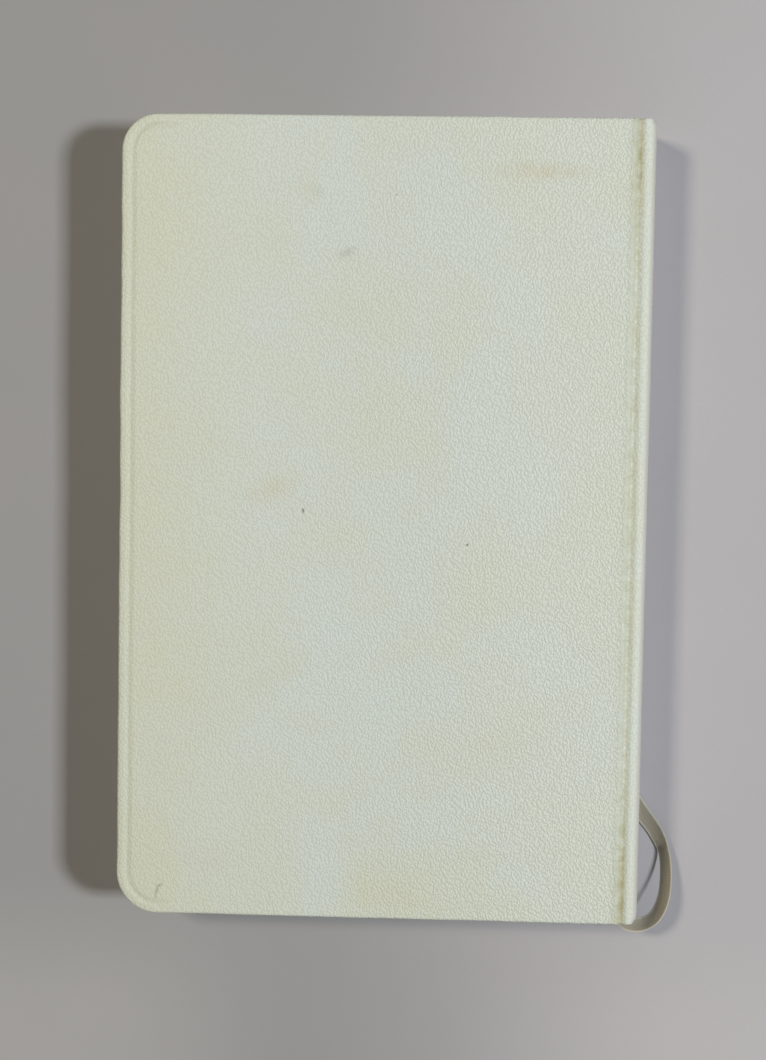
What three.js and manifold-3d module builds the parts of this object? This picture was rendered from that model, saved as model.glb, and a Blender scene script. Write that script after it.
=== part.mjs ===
// A pocket prayer book in white grained leather, lying closed on its front cover.
// Millimetres. +X is the spine side, +Y the head of the pages, +Z up. The origin is on the resting
// face, under the middle of the covers. The book is sewn on tapes with a rounded tight back.
import * as THREE from "three";
import * as BufferGeometryUtils from "three/addons/utils/BufferGeometryUtils.js";
import Module from "manifold-3d";

const wasm = await Module();
wasm.setup();

// ---------------------------------------------------------------- driving dimensions
const BOOK_WIDTH = 96;
const BOOK_HEIGHT = 145;
const BOOK_THICKNESS = 14.5;
const SQUARE = 3; // how far the covers stand out past the leaves
const HEAD_CORNER_RADIUS = 6.5; // the covers' fore-edge corner at the head
const TAIL_CORNER_RADIUS = 7.5;
const LEAF_CORNER_RADIUS = 5;

const LEATHER = 0.45;
const BOARD = 0.67;
const PASTEDOWN = 0.3;
const TURN_IN = 4; // leather showing around the pastedown
const LEATHER_RIM = 0.5;
const GROOVE_TO_SPINE = 3.7; // from the spine's outer face to the bottom of the joint's groove
const BOARD_TO_GROOVE = 1;

const FLYLEAF = 0.12;
const COVER_GAP = 0.06;
const BODY_GAP = 0.02; // between stacks of leaves that part when the book opens
const RIBBON_GAP = 0.34; // the place of the ribbon at the middle opening
const LEAF_GROUP = 0.25;
const LEAF_GROUPS = 4;
const BLOCK_PARTS = 4;
const GATHERINGS_PER_PART = 3;
const SPINE_ROUNDING = 1;

const TAPE = [0.05, 0.28]; // distances outside the gatherings' rounded back
const MULL = [0.3, 0.42];
const LINING = [0.44, 0.53];
const SPINE_LEATHER = [0.6, 1.05];
const TAPE_WIDTH = 10;
const TAPE_SPACING = 42;
const HEADBAND_RADIUS = 0.5;

const RIBBON_WIDTH = 3;
const RIBBON_THICKNESS = 0.24;

// ---------------------------------------------------------------- derived places
const foreEdge = -BOOK_WIDTH / 2;
const spineFace = BOOK_WIDTH / 2;
const head = BOOK_HEIGHT / 2;
const middle = BOOK_THICKNESS / 2;
const groove = spineFace - GROOVE_TO_SPINE;
const boardEdge = groove - BOARD_TO_GROOVE;
const coverThickness = LEATHER + BOARD + PASTEDOWN;
const leafForeEdge = foreEdge + SQUARE;
const leafHead = head - SQUARE;
const flyleafBottom = coverThickness + COVER_GAP;
const blockBottom = flyleafBottom + FLYLEAF + BODY_GAP;
const blockHalfHeight = middle - blockBottom;
const backRadius = (blockHalfHeight ** 2 + SPINE_ROUNDING ** 2) / (2 * SPINE_ROUNDING);
const backCentre = spineFace - SPINE_LEATHER[1] - backRadius;
const gaps = RIBBON_GAP + (LEAF_GROUPS + 2) * BODY_GAP;
const gathering =
  (2 * blockHalfHeight - gaps - LEAF_GROUPS * LEAF_GROUP) / (BLOCK_PARTS * GATHERINGS_PER_PART);

// ---------------------------------------------------------------- materials
function finish(color, roughness) {
  return new THREE.MeshStandardMaterial({ color, roughness, metalness: 0 });
}

const whiteLeather = finish(0xd8dcca, 0.5);
const greyBoard = finish(0x9a9488, 0.9);
const endpaper = finish(0xe6e0cd, 0.85);
const bookPaper = finish(0xe8e1cc, 0.9);
const mullCloth = finish(0xd9d2bd, 0.95);
const kraftPaper = finish(0xb08e63, 0.9);
const linen = finish(0xcfc6ae, 0.95);
const silkThread = finish(0xe9e4d2, 0.6);
const greySatin = finish(0xa79f8d, 0.5);

// ---------------------------------------------------------------- shapes
const book = new THREE.Group();

function addPiece(name, geometry, material) {
  const piece = new THREE.Mesh(geometry, material);
  piece.name = name;
  book.add(piece);
}

// A flat outline with square corners on the spine side and round ones at the fore-edge.
function leafOutline(left, right, halfHeight, headRadius, tailRadius) {
  const outline = new THREE.Shape();
  outline.moveTo(right, -halfHeight);
  outline.lineTo(right, halfHeight);
  outline.lineTo(left + headRadius, halfHeight);
  outline.absarc(left + headRadius, halfHeight - headRadius, headRadius, Math.PI / 2, Math.PI);
  outline.lineTo(left, -halfHeight + tailRadius);
  outline.absarc(left + tailRadius, -halfHeight + tailRadius, tailRadius, Math.PI, Math.PI * 1.5);
  outline.closePath();
  return outline;
}

function slab(outline, bottom, top) {
  const geometry = new THREE.ExtrudeGeometry(outline, {
    depth: top - bottom,
    bevelEnabled: false,
    curveSegments: 8,
  });
  geometry.translate(0, 0, bottom);
  return geometry;
}

// A section drawn in X and Z, run along Y between two places.
function runAlongY(section, low, high) {
  const geometry = new THREE.ExtrudeGeometry(section, { depth: high - low, bevelEnabled: false });
  geometry.rotateX(Math.PI / 2);
  geometry.translate(0, high, 0);
  return geometry;
}

function toSolid(geometry) {
  const bare = geometry.clone();
  bare.deleteAttribute("normal");
  bare.deleteAttribute("uv");
  const merged = BufferGeometryUtils.mergeVertices(bare);
  const mesh = new wasm.Mesh({
    numProp: 3,
    vertProperties: new Float32Array(merged.attributes.position.array),
    triVerts: new Uint32Array(merged.index.array),
  });
  return new wasm.Manifold(mesh);
}

function toGeometry(solid) {
  const mesh = solid.getMesh();
  const geometry = new THREE.BufferGeometry();
  geometry.setAttribute("position", new THREE.BufferAttribute(mesh.vertProperties, 3));
  geometry.setIndex(new THREE.BufferAttribute(mesh.triVerts, 1));
  geometry.computeVertexNormals();
  return geometry;
}

// How far the rounded back reaches at a height, for a layer outside the gatherings.
function backAt(height, layer) {
  return backCentre + Math.sqrt((backRadius + layer) ** 2 - (height - middle) ** 2);
}

// ---------------------------------------------------------------- covers
function coverOutline(inset, right) {
  return leafOutline(
    foreEdge + inset,
    right,
    head - inset,
    HEAD_CORNER_RADIUS - inset,
    TAIL_CORNER_RADIUS - inset,
  );
}

// Heights are counted from the cover's outer face, inwards.
function coverSlab(side, inset, outer, inner, right = boardEdge) {
  const low = side === "front" ? outer : BOOK_THICKNESS - inner;
  const high = side === "front" ? inner : BOOK_THICKNESS - outer;
  return slab(coverOutline(inset, right), low, high);
}

// The leather wraps the board's three free edges and turns in over its inner face.
function coverLeather(side) {
  const past = 1; // the cuts run out past the leather at the spine side and inside
  const whole = toSolid(coverSlab(side, 0, 0, coverThickness));
  const boardSpace = toSolid(
    coverSlab(side, LEATHER_RIM, LEATHER, LEATHER + BOARD, boardEdge + past),
  );
  const pastedownSpace = toSolid(
    coverSlab(side, TURN_IN, LEATHER + BOARD / 2, coverThickness + past, boardEdge + past),
  );
  return toGeometry(whole.subtract(boardSpace).subtract(pastedownSpace));
}

for (const side of ["front", "back"]) {
  addPiece(`${side}_leather`, coverLeather(side), whiteLeather);
  addPiece(
    `${side}_board`,
    coverSlab(side, LEATHER_RIM, LEATHER, LEATHER + BOARD),
    greyBoard,
  );
  addPiece(
    `${side}_pastedown`,
    coverSlab(side, TURN_IN, LEATHER + BOARD, coverThickness),
    endpaper,
  );
}

// ---------------------------------------------------------------- leaves
function leafStack(name, bottom, top, right, material) {
  const outline = leafOutline(
    leafForeEdge,
    right,
    leafHead,
    LEAF_CORNER_RADIUS,
    LEAF_CORNER_RADIUS,
  );
  addPiece(name, slab(outline, bottom, top), material);
}

const flyleafEdge = groove - 0.2;
leafStack("front_flyleaf", flyleafBottom, flyleafBottom + FLYLEAF, flyleafEdge, endpaper);
leafStack(
  "back_flyleaf",
  BOOK_THICKNESS - flyleafBottom - FLYLEAF,
  BOOK_THICKNESS - flyleafBottom,
  flyleafEdge,
  endpaper,
);

// Each gathering's fold stops where the rounded back is narrowest over its height.
function addGathering(number, bottom) {
  const top = bottom + gathering;
  const farthest = Math.max(Math.abs(bottom - middle), Math.abs(top - middle));
  const name = `gathering_${String(number).padStart(2, "0")}`;
  leafStack(name, bottom, top, backAt(middle + farthest, 0), bookPaper);
}

// The stack from the bottom up: two parts of the block, the place of the ribbon, the gathering at
// the middle opening parted into four groups of leaves, and the block's other two parts.
let stackTop = blockBottom;

function addBlockPart(firstNumber) {
  for (let step = 0; step < GATHERINGS_PER_PART; step += 1) {
    addGathering(firstNumber + step, stackTop);
    stackTop += gathering;
  }
}

addBlockPart(1);
stackTop += BODY_GAP;
addBlockPart(1 + GATHERINGS_PER_PART);
const ribbonHeight = stackTop + RIBBON_GAP / 2;
stackTop += RIBBON_GAP;
for (let group = 1; group <= LEAF_GROUPS; group += 1) {
  const right = backAt(middle, -0.05);
  leafStack(`leaf_group_${group}`, stackTop, stackTop + LEAF_GROUP, right, bookPaper);
  stackTop += LEAF_GROUP + BODY_GAP;
}
addBlockPart(1 + 2 * GATHERINGS_PER_PART);
stackTop += BODY_GAP;
addBlockPart(1 + 3 * GATHERINGS_PER_PART);

// ---------------------------------------------------------------- back
// A layer of the back: an arc of even thickness between two distances outside the gatherings.
function backLayer([inner, outer], halfHeight) {
  const section = new THREE.Shape();
  const innerAngle = Math.asin(halfHeight / (backRadius + inner));
  const outerAngle = Math.asin(halfHeight / (backRadius + outer));
  section.absarc(backCentre, middle, backRadius + outer, -outerAngle, outerAngle, false);
  section.absarc(backCentre, middle, backRadius + inner, innerAngle, -innerAngle, true);
  section.closePath();
  return section;
}

const tapeHalfHeight = blockHalfHeight - 0.7;
for (let index = 0; index < 3; index += 1) {
  const place = (1 - index) * TAPE_SPACING;
  const section = backLayer(TAPE, tapeHalfHeight);
  addPiece(
    `sewing_tape_${index + 1}`,
    runAlongY(section, place - TAPE_WIDTH / 2, place + TAPE_WIDTH / 2),
    linen,
  );
}
addPiece("spine_mull", runAlongY(backLayer(MULL, tapeHalfHeight), -leafHead + 4, leafHead - 4), mullCloth);
addPiece("spine_lining", runAlongY(backLayer(LINING, tapeHalfHeight), -leafHead, leafHead), kraftPaper);

// The leather of the back and both joints, from one board's edge to the other's. Its surface runs
// down into each joint's groove, over the ridge of the shoulder and around the rounded back.
const arcHalfHeight = blockHalfHeight - 1.1;
const jointOutside = [
  [boardEdge, 0],
  [boardEdge + 0.5, 0.3],
  [groove, 0.8],
  [groove + 0.45, 0.66],
  [groove + 1, 0.42],
  [groove + 1.9, 0.5],
  [groove + 2.7, 0.95],
  [groove + 3.15, 1.7],
];
const jointInside = [
  [boardEdge, LEATHER],
  [boardEdge + 0.4, LEATHER + 0.36],
  [groove, 1.25],
  [groove + 0.5, 1.12],
  [groove + 1.05, 0.9],
  [groove + 1.85, 0.98],
  [groove + 2.45, 1.4],
  [groove + 2.7, 2.1],
];

// One face of the spine leather, as points from the front board's edge to the back board's.
function leatherFace(joint, layer) {
  const points = joint.map(([x, depth]) => new THREE.Vector2(x, depth));
  const steps = 8;
  for (let step = 0; step <= steps; step += 1) {
    const height = middle + arcHalfHeight * ((2 * step) / steps - 1);
    points.push(new THREE.Vector2(backAt(height, layer), height));
  }
  for (const [x, depth] of [...joint].reverse()) {
    points.push(new THREE.Vector2(x, BOOK_THICKNESS - depth));
  }
  return new THREE.SplineCurve(points).getPoints(64);
}

const leatherSection = new THREE.Shape([
  ...leatherFace(jointOutside, SPINE_LEATHER[1]),
  ...leatherFace(jointInside, SPINE_LEATHER[0]).reverse(),
]);
addPiece("spine_leather", runAlongY(leatherSection, -head, head), whiteLeather);

// A headband stands at each end of the back, against the gatherings' folds.
const headbandReach = 3;
for (const [name, end] of [["headband_head", 1], ["headband_tail", -1]]) {
  const roll = new THREE.CylinderGeometry(
    HEADBAND_RADIUS,
    HEADBAND_RADIUS,
    2 * headbandReach,
    12,
  );
  roll.rotateX(Math.PI / 2);
  const x = backAt(middle + headbandReach, 0) - HEADBAND_RADIUS / 4;
  roll.translate(x, end * (leafHead + HEADBAND_RADIUS + 0.05), middle);
  addPiece(name, roll, silkThread);
}

// ---------------------------------------------------------------- ribbon marker
// A path whose section keeps its width level, as a flat ribbon does when it lies on a surface.
class LevelPath extends THREE.CatmullRomCurve3 {
  computeFrenetFrames(steps) {
    const up = new THREE.Vector3(0, 0, 1);
    const tangents = [];
    const normals = [];
    const binormals = [];
    for (let step = 0; step <= steps; step += 1) {
      const tangent = this.getTangentAt(step / steps);
      const normal = up.clone().addScaledVector(tangent, -up.dot(tangent)).normalize();
      tangents.push(tangent);
      normals.push(normal);
      binormals.push(tangent.clone().cross(normal));
    }
    return { tangents, normals, binormals };
  }
}

// It lies in the middle opening beside the folds, leaves at the tail, drops to the surface, turns
// around the corner of the back and ends under it.
const ribbonPath = new LevelPath(
  [
    [43.9, 71.9, ribbonHeight],
    [43.7, 62, ribbonHeight],
    [43.6, 45, ribbonHeight],
    [43.6, 25, ribbonHeight],
    [43.6, 5, ribbonHeight],
    [43.6, -15, ribbonHeight],
    [43.7, -35, ribbonHeight],
    [43.8, -55, ribbonHeight],
    [44, -67.5, ribbonHeight],
    [44.2, -71, 6.6],
    [45.1, -73.3, 6.35],
    [47, -74.7, 5.95],
    [49.6, -74.9, 5.5],
    [52, -73.4, 4.9],
    [53.5, -70.4, 4],
    [54.1, -66.4, 2.6],
    [53.8, -62.2, 1.35],
    [52.2, -58.5, 0.75],
    [50, -55.5, 0.4],
    [48.2, -53, 0.2],
    [47.2, -51, 0.18],
  ].map((place) => new THREE.Vector3(...place)),
);
const ribbonSection = new THREE.Shape();
const halfThickness = RIBBON_THICKNESS / 2;
const halfWidth = RIBBON_WIDTH / 2;
ribbonSection.moveTo(-halfThickness, -halfWidth);
ribbonSection.lineTo(halfThickness, -halfWidth);
ribbonSection.lineTo(halfThickness, halfWidth);
ribbonSection.lineTo(-halfThickness, halfWidth);
ribbonSection.closePath();
addPiece(
  "ribbon_marker",
  new THREE.ExtrudeGeometry(ribbonSection, {
    steps: 76,
    bevelEnabled: false,
    extrudePath: ribbonPath,
  }),
  greySatin,
);

export default book;
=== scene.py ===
import math

import bpy
import numpy as np
from mathutils import Matrix, Vector, noise


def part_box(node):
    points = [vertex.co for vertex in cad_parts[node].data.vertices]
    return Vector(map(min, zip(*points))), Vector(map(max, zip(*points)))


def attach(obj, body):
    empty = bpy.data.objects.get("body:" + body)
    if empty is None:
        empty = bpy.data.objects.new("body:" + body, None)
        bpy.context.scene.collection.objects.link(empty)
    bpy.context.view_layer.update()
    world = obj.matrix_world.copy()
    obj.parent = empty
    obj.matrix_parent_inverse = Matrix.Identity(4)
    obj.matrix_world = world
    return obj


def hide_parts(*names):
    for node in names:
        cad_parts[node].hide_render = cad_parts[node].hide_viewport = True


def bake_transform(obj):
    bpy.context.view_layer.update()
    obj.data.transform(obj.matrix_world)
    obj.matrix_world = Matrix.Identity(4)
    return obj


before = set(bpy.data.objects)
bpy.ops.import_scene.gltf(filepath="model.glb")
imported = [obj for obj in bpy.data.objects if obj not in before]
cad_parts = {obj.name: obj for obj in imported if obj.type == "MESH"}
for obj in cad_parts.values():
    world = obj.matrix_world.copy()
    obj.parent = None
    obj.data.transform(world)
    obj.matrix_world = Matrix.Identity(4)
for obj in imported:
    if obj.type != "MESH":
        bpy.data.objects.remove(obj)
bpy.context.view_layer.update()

# Lengths below are millimetres in the part's own frame: X from the fore-edge to the spine,
# Y from the tail to the head, Z up from the surface the front cover lies on.
MM = 0.001


def node_box(node):
    low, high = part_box(node)
    return np.array(low) / MM, np.array(high) / MM


COVER_LOW, COVER_HIGH = node_box("back_leather")
SPINE_HIGH = node_box("spine_leather")[1]
LEAF_LOW, LEAF_HIGH = node_box("leaf_group_1")
FORE_EDGE = COVER_LOW[0]
BOARD_EDGE = COVER_HIGH[0]
HEAD = COVER_HIGH[1]
TAIL = COVER_LOW[1]
THICKNESS = SPINE_HIGH[2]
MIDDLE = THICKNESS / 2
COVER_DEPTH = THICKNESS - COVER_LOW[2]

HEAD_RADIUS = 6.5
TAIL_RADIUS = 7.5
LEAF_RADIUS = 5.0
EDGE_ROLL = 0.5  # how far in from the outline the leather starts to roll over the board
TURN_IN = 4.0  # leather turned in over the boards, and over the ends of the spine
SPINE_TURN_IN = 2.2
LEATHER = 0.45
GROOVE = BOARD_EDGE + 1.0
SHOULDER = GROOVE + 1.3  # the covers turn about this line, where the leather wraps the leaves
JOINT = [
    (BOARD_EDGE, 0.0), (GROOVE - 0.5, 0.3), (GROOVE, 0.8), (GROOVE + 0.45, 0.66),
    (GROOVE + 1.0, 0.42), (GROOVE + 1.9, 0.5), (GROOVE + 2.7, 0.95), (GROOVE + 3.15, 1.7),
]  # the groove and the ridge beside it: X and depth below the cover's face
BACK_CENTRE = 30.602  # the rounded back is an arc about this X, at the middle height
BACK_RADIUS = 16.348
SPINE_LEATHER = 1.05  # the layers of the back, outwards from the folds of the leaves
LINING = (0.44, 0.53)
MULL = (0.30, 0.42)
TAPE = (0.05, 0.28)
SEAM_HEIGHTS = (11.4, 8.9, 5.6, 3.1)  # where one leather strip ends and the next starts

GRAIN_STEP = 0.42  # between the points of the covers' leather
SPINE_STEP = 0.2
CORNER_STEPS = 18


# ---- camera
VIEW_DISTANCE = 280.0  # from the upper cover; the tilts and the roll are in degrees
VIEW_TILT_X = 3.129
VIEW_TILT_Y = -1.9
VIEW_ROLL = -1.079
VIEW_SHIFT = (0.144, 1.30)
LENS = 73.086
SENSOR = 36.0


def camera_turn():
    roll = Matrix.Rotation(math.radians(VIEW_ROLL), 3, "Z")
    tilt_x = Matrix.Rotation(math.radians(VIEW_TILT_X), 3, "X")
    tilt_y = Matrix.Rotation(math.radians(VIEW_TILT_Y), 3, "Y")
    return (tilt_y @ tilt_x @ roll).transposed()


def make_camera():
    data = bpy.data.cameras.new("camera")
    data.lens = LENS
    data.sensor_width = SENSOR
    data.sensor_fit = "HORIZONTAL"
    data.clip_start = 0.01
    turn = camera_turn()
    away = turn @ Vector((-VIEW_SHIFT[0], -VIEW_SHIFT[1], VIEW_DISTANCE))
    place = (Vector((0, 0, THICKNESS)) + away) * MM
    made = bpy.data.objects.new("camera", data)
    made.matrix_world = Matrix.Translation(place) @ turn.to_4x4()
    bpy.context.collection.objects.link(made)
    bpy.context.scene.camera = made


make_camera()


# ---- mesh helpers
def make_piece(name, points, faces, material, shade=None, unrolled=None):
    """A smooth mesh piece from points in millimetres; what the material needs is kept on them."""
    points = np.array(points, float).reshape(-1, 3) * MM
    mesh = bpy.data.meshes.new(name)
    mesh.from_pydata(points.tolist(), [], [list(map(int, face)) for face in faces])
    mesh.polygons.foreach_set("use_smooth", [True] * len(mesh.polygons))
    for key, kind, field, values in (
        ("rest", "FLOAT_VECTOR", "vector", points),
        ("unrolled", "FLOAT_VECTOR", "vector", unrolled),
        ("crease", "FLOAT", "value", shade),
    ):
        if values is not None:
            kept = mesh.attributes.new(key, kind, "POINT")
            kept.data.foreach_set(field, np.asarray(values, np.float32).ravel())
    mesh.materials.append(material)
    mesh.update()
    made = bpy.data.objects.new(name, mesh)
    bpy.context.collection.objects.link(made)
    return made


def grid_faces(rows, columns, first=0, flip=False):
    """Quads over a grid of points held row by row, its first point being number `first`."""
    index = first + np.arange(rows * columns).reshape(rows, columns)
    a, b = index[:-1, :-1].ravel(), index[:-1, 1:].ravel()
    c, d = index[1:, 1:].ravel(), index[1:, :-1].ravel()
    order = (a, d, c, b) if flip else (a, b, c, d)
    return np.column_stack(order).tolist()


def ring_faces(first_ring, second_ring, closed, flip=False):
    """Quads between two rows of point numbers."""
    first_ring, second_ring = np.array(first_ring), np.array(second_ring)
    if closed:
        first_ring = np.append(first_ring, first_ring[0])
        second_ring = np.append(second_ring, second_ring[0])
    parts = (first_ring[:-1], second_ring[:-1], second_ring[1:], first_ring[1:])
    if flip:
        parts = parts[::-1]
    return np.column_stack(parts).tolist()


def ease(value, start, end):
    """0 before start, 1 after end, smooth between."""
    t = np.clip((np.asarray(value, float) - start) / (end - start), 0, 1)
    return t * t * (3 - 2 * t)


def bell(value, centre, width):
    return np.exp(-(((value - centre) / width) ** 2))


def soft_noise(x, y, size, seed):
    """Smooth noise, about -1 to 1, with features `size` millimetres across."""
    x, y = np.broadcast_arrays(np.asarray(x, float), np.asarray(y, float))
    pairs = zip((x / size).ravel(), (y / size).ravel())
    values = [noise.noise((float(u), float(v), seed)) for u, v in pairs]
    return np.array(values).reshape(x.shape)


def run_along(line):
    """How far along the line each of its points is."""
    return np.append(0, np.cumsum(np.linalg.norm(np.diff(line, axis=0), axis=1)))


def direction_along(line):
    tangent = np.gradient(line, axis=0)
    return tangent / np.linalg.norm(tangent, axis=1)[:, None]


def smooth_line(points, step):
    """A smooth line through the points, with a point about every `step`."""
    points = np.array(points, float)
    before, after = 2 * points[0] - points[1], 2 * points[-1] - points[-2]
    all_points = np.vstack([before, points, after])
    t = np.linspace(0, 1, 24, endpoint=False)[:, None]
    fine = []
    for a, b, c, d in zip(all_points, all_points[1:], all_points[2:], all_points[3:]):
        square = (2 * a - 5 * b + 4 * c - d) * t**2
        cube = (3 * b - a - 3 * c + d) * t**3
        fine.append((2 * b + (c - a) * t + square + cube) / 2)
    fine = np.vstack(fine + [points[-1:]])
    run = run_along(fine)
    at = np.linspace(0, run[-1], int(round(run[-1] / step)) + 1)
    return np.column_stack([np.interp(at, run, fine[:, k]) for k in range(fine.shape[1])])


def back_at(height, layer):
    """How far the rounded back reaches at a height, for a layer outside the leaves."""
    return BACK_CENTRE + np.sqrt((BACK_RADIUS + layer) ** 2 - (height - MIDDLE) ** 2)


def outline_rows(left, tail_y, head_y, tail_radius, head_radius, step, corner_steps):
    """Y, the fore-edge's X and the outward direction of each row of points, tail to head."""
    rows = []
    for a in np.linspace(math.pi / 2, 0, corner_steps, endpoint=False):
        c, s = math.cos(a), math.sin(a)
        rows.append((tail_y - tail_radius * s, left + tail_radius * (1 - c), -c, -s))
    for y in np.linspace(tail_y, head_y, int((head_y - tail_y) / step), endpoint=False):
        rows.append((y, left, -1.0, 0.0))
    for a in np.linspace(0, math.pi / 2, corner_steps + 1):
        c, s = math.cos(a), math.sin(a)
        rows.append((head_y + head_radius * s, left + head_radius * (1 - c), -c, s))
    return np.array(rows)


def outward_directions(order, outline, rows, columns):
    """Which way the outline faces at each of the numbered points of a grid's edge."""
    row, column = order // columns, order % columns
    outward = np.zeros((len(order), 3))
    outward[:, 1] = np.where(row == rows - 1, 1.0, np.where(row == 0, -1.0, 0.0))
    at_left = column == 0
    outward[at_left, 0] = outline[row[at_left], 2]
    outward[at_left, 1] = outline[row[at_left], 3]
    return outward


def add_uv(made, name, across, along):
    """A UV layer from one value across and one along for every point."""
    layer = made.data.uv_layers.new(name=name)
    uv = np.stack(np.broadcast_arrays(across, along), -1).reshape(-1, 2)
    corners = np.zeros(len(made.data.loops), int)
    made.data.loops.foreach_get("vertex_index", corners)
    layer.data.foreach_set("uv", uv[corners].astype(np.float32).ravel())


def tube_faces(rings, count, flip=False):
    """Quads between rings of count points each."""
    ring = np.arange(count)
    faces = []
    for first in range(0, (rings - 1) * count, count):
        faces += ring_faces(first + ring, first + count + ring, True, flip)
    return faces


# ---- material helpers
SURFACE = "Principled BSDF"


def node(tree, kind, inputs=None, **settings):
    made = tree.nodes.new(kind)
    for key, value in settings.items():
        setattr(made, key, value)
    for key, value in (inputs or {}).items():
        if isinstance(value, bpy.types.NodeSocket):
            tree.links.new(value, made.inputs[key])
        else:
            made.inputs[key].default_value = value
    return made


def start_material(name, roughness, specular):
    material = bpy.data.materials.new(name)
    material.use_nodes = True
    tree = material.node_tree
    surface = tree.nodes[SURFACE]
    surface.inputs["Roughness"].default_value = roughness
    surface.inputs["Specular IOR Level"].default_value = specular
    return material, tree


def scaled_vector(tree, vector, scale):
    inputs = {0: vector, "Scale": scale}
    return node(tree, "ShaderNodeVectorMath", inputs, operation="SCALE").outputs[0]


def kept_place(tree, attribute):
    """A place kept for each point of a piece, in millimetres: at rest, or unrolled flat."""
    place = node(tree, "ShaderNodeAttribute", attribute_name=attribute)
    return scaled_vector(tree, place.outputs["Vector"], 1 / MM)


def object_place(tree):
    """The place on a piece that never bends, in millimetres."""
    place = node(tree, "ShaderNodeTexCoord")
    return scaled_vector(tree, place.outputs["Object"], 1 / MM)


def math_node(tree, operation, first, second=0.0, third=0.0, clamp=False):
    return node(
        tree, "ShaderNodeMath", {0: first, 1: second, 2: third},
        operation=operation, use_clamp=clamp,
    ).outputs[0]


def times(tree, first, second, clamp=False):
    return math_node(tree, "MULTIPLY", first, second, clamp=clamp)


def absolute(tree, value):
    return math_node(tree, "ABSOLUTE", value)


def axes(tree, vector):
    return node(tree, "ShaderNodeSeparateXYZ", {0: vector}).outputs


def noise_node(tree, place, scale, detail=2.0, rough=0.5):
    return node(
        tree, "ShaderNodeTexNoise",
        {"Vector": place, "Scale": scale, "Detail": detail, "Roughness": rough},
    ).outputs[0]


def stretch(tree, place, scale, turn=(0, 0, 0)):
    return node(
        tree, "ShaderNodeMapping",
        {"Vector": place, "Rotation": [math.radians(t) for t in turn], "Scale": scale},
    ).outputs[0]


def remap(tree, value, low, high, to_low=0.0, to_high=1.0):
    """Smoothly from to_low, where the value is at low, to to_high."""
    return node(
        tree, "ShaderNodeMapRange",
        {"Value": value, "From Min": low, "From Max": high, "To Min": to_low, "To Max": to_high},
        interpolation_type="SMOOTHSTEP",
    ).outputs[0]


def mix(tree, share, first, second):
    """The first colour, turning into the second as share goes from 0 to 1."""
    made = tree.nodes.new("ShaderNodeMix")
    made.data_type = "RGBA"
    sockets = (made.inputs[0], made.inputs[6], made.inputs[7])
    for socket, value in zip(sockets, (share, first, second)):
        if isinstance(value, bpy.types.NodeSocket):
            tree.links.new(value, socket)
        elif isinstance(value, (tuple, list)):
            socket.default_value = (*value, 1.0)
        else:
            socket.default_value = value
    return made.outputs[2]


def bump(tree, height, distance, strength):
    """A normal for relief of that height; distance is in millimetres."""
    inputs = {"Height": height, "Distance": distance * MM, "Strength": strength}
    return node(tree, "ShaderNodeBump", inputs).outputs[0]


def finish_material(material, colour, height, distance, strength):
    """Give the material its colour, and relief of that height."""
    tree = material.node_tree
    surface = tree.nodes[SURFACE]
    tree.links.new(colour, surface.inputs["Base Color"])
    tree.links.new(bump(tree, height, distance, strength), surface.inputs["Normal"])
    return material


def spot(tree, place, centre, size, turn):
    """1 at a mark's centre, falling to 0 at its edge; size is its half width and half height."""
    shifted = node(
        tree, "ShaderNodeVectorMath", {0: place, 1: (*centre, 0.0)}, operation="SUBTRACT"
    ).outputs[0]
    turned = stretch(tree, shifted, (1, 1, 1), (0, 0, -turn))
    scaled = stretch(tree, turned, (1 / size[0], 1 / size[1], 0.0))
    length = node(tree, "ShaderNodeVectorMath", {0: scaled}, operation="LENGTH").outputs[1]
    return remap(tree, length, 1.0, 0.0)


# ---- leather material
WHITE_GREEN = (0.735, 0.802, 0.748)
WHITE_YELLOW = (0.735, 0.768, 0.636)
# painted light: the colour the cover brightens to towards the spine
PAINTED_LIGHT_WHITE = (0.810, 0.870, 0.800)
WHITE_BLUE = (0.725, 0.822, 0.825)
VALLEY = (0.560, 0.600, 0.500)
GROOVE_STAIN_AND_SHADE = (0.520, 0.515, 0.330)
GROOVE_BROWN = (0.425, 0.390, 0.215)
PAINTED_SPINE_SHADE = (0.580, 0.560, 0.510)
PAINTED_CREASE_SHADE = (0.520, 0.540, 0.400)
STAIN_BEIGE = (0.690, 0.640, 0.470)
SCUFF_GREY = (0.330, 0.350, 0.360)
DIRT_BROWN = (0.110, 0.065, 0.030)
STAINS = [  # centre, half size, turn in degrees, share
    ((27.0, 63.0), (14.0, 2.6), 0.0, 0.75),
    ((-20.5, 5.4), (8.5, 4.0), 20.0, 0.60),
    ((-14.4, 59.5), (3.0, 5.0), 15.0, 0.55),
    ((-19.0, -28.0), (9.0, 4.0), 30.0, 0.30),
    ((22.0, -40.0), (14.0, 7.0), 25.0, 0.25),
    ((20.0, -60.5), (16.0, 3.0), 0.0, 0.20),
    ((-31.0, -62.0), (8.0, 5.0), 10.0, 0.25),
]
SCUFFS = [((-7.3, 48.2), (2.6, 1.5), 20.0, 0.55), ((-12.5, 59.0), (1.2, 2.0), 30.0, 0.25)]
SPECKS = [
    ((-14.6, 1.9), (0.28, 0.75), 10.0, 0.9), ((15.1, -3.7), (0.35, 0.35), 0.0, 0.9),
    ((1.3, 58.5), (0.3, 0.3), 0.0, 0.5), ((-40.5, -68.2), (0.40, 1.5), -22.0, 0.35),
    ((-39.9, -67.2), (1.1, 0.45), 22.0, 0.30), ((-40.7, -69.4), (0.3, 0.9), -8.0, 0.25),
]
PEBBLES_PER_MM = 2.2


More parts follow.
